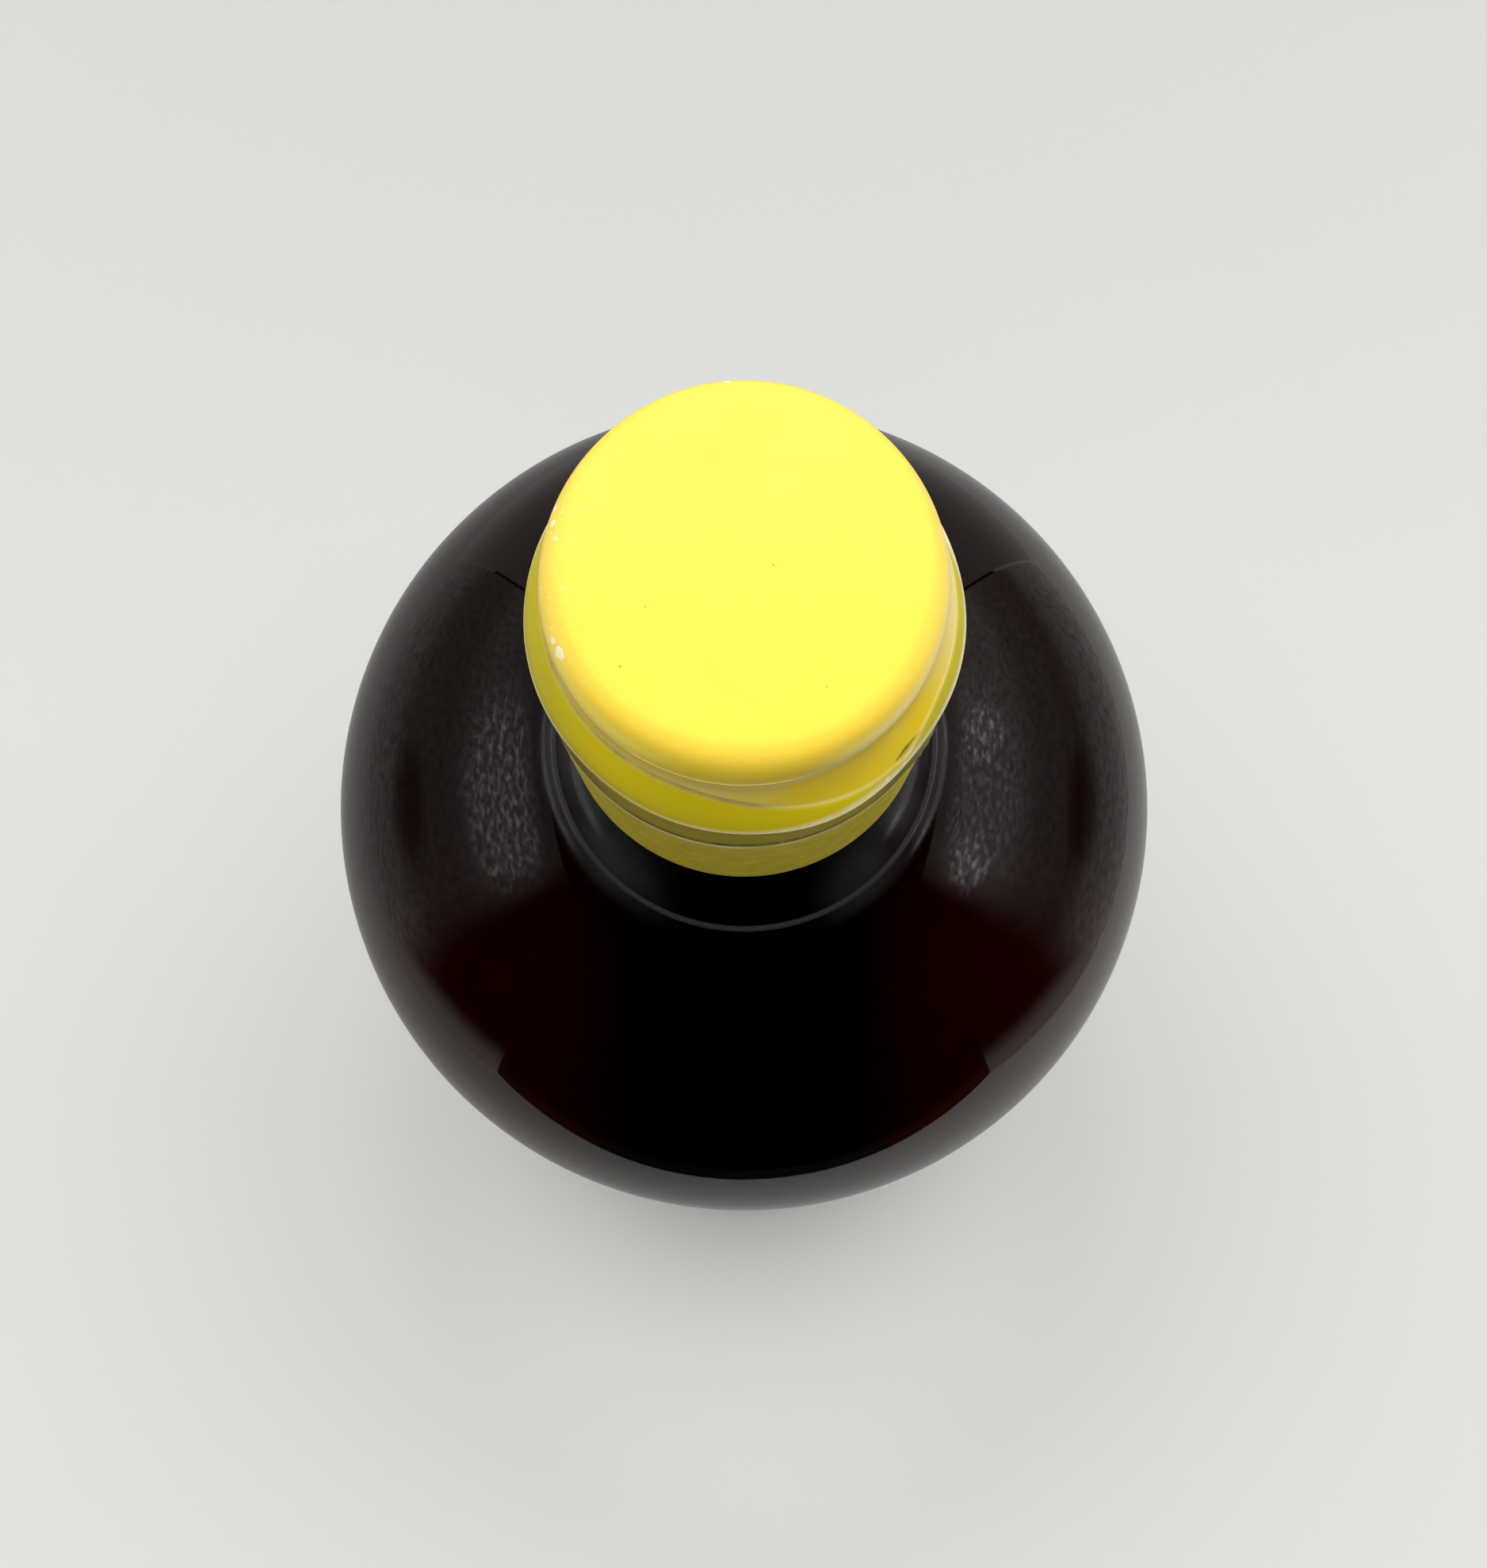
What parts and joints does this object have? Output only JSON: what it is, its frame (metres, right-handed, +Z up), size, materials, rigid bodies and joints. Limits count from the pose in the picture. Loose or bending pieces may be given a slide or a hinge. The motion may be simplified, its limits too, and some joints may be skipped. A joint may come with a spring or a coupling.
{
  "type": "rum bottle",
  "caption": "Full round-shouldered clear glass bottle of dark rum with a yellow rolled metal screw cap and the torn-off tamper band left on its neck.",
  "frame": {"origin": "centre of the standing ring, on the surface that the bottle stands on", "axes": "+Z up along the bottle's axis towards the cap; -Y towards the picture's camera; +X to the right seen from the front"},
  "size_m": [0.092, 0.092, 0.245],
  "materials": {
    "glass": "clear polished bottle glass",
    "rum": "very dark red-brown liquid",
    "cap_paint": "smooth bright yellow lacquer on thin rolled aluminium",
    "band_paint": "yellow lacquer on thin rolled aluminium"
  },
  "bodies": {
    "root": {"bottle_glass": "glass", "rum": "rum", "screw_cap": "cap_paint", "tamper_band": "band_paint"}
  },
  "joints": []
}
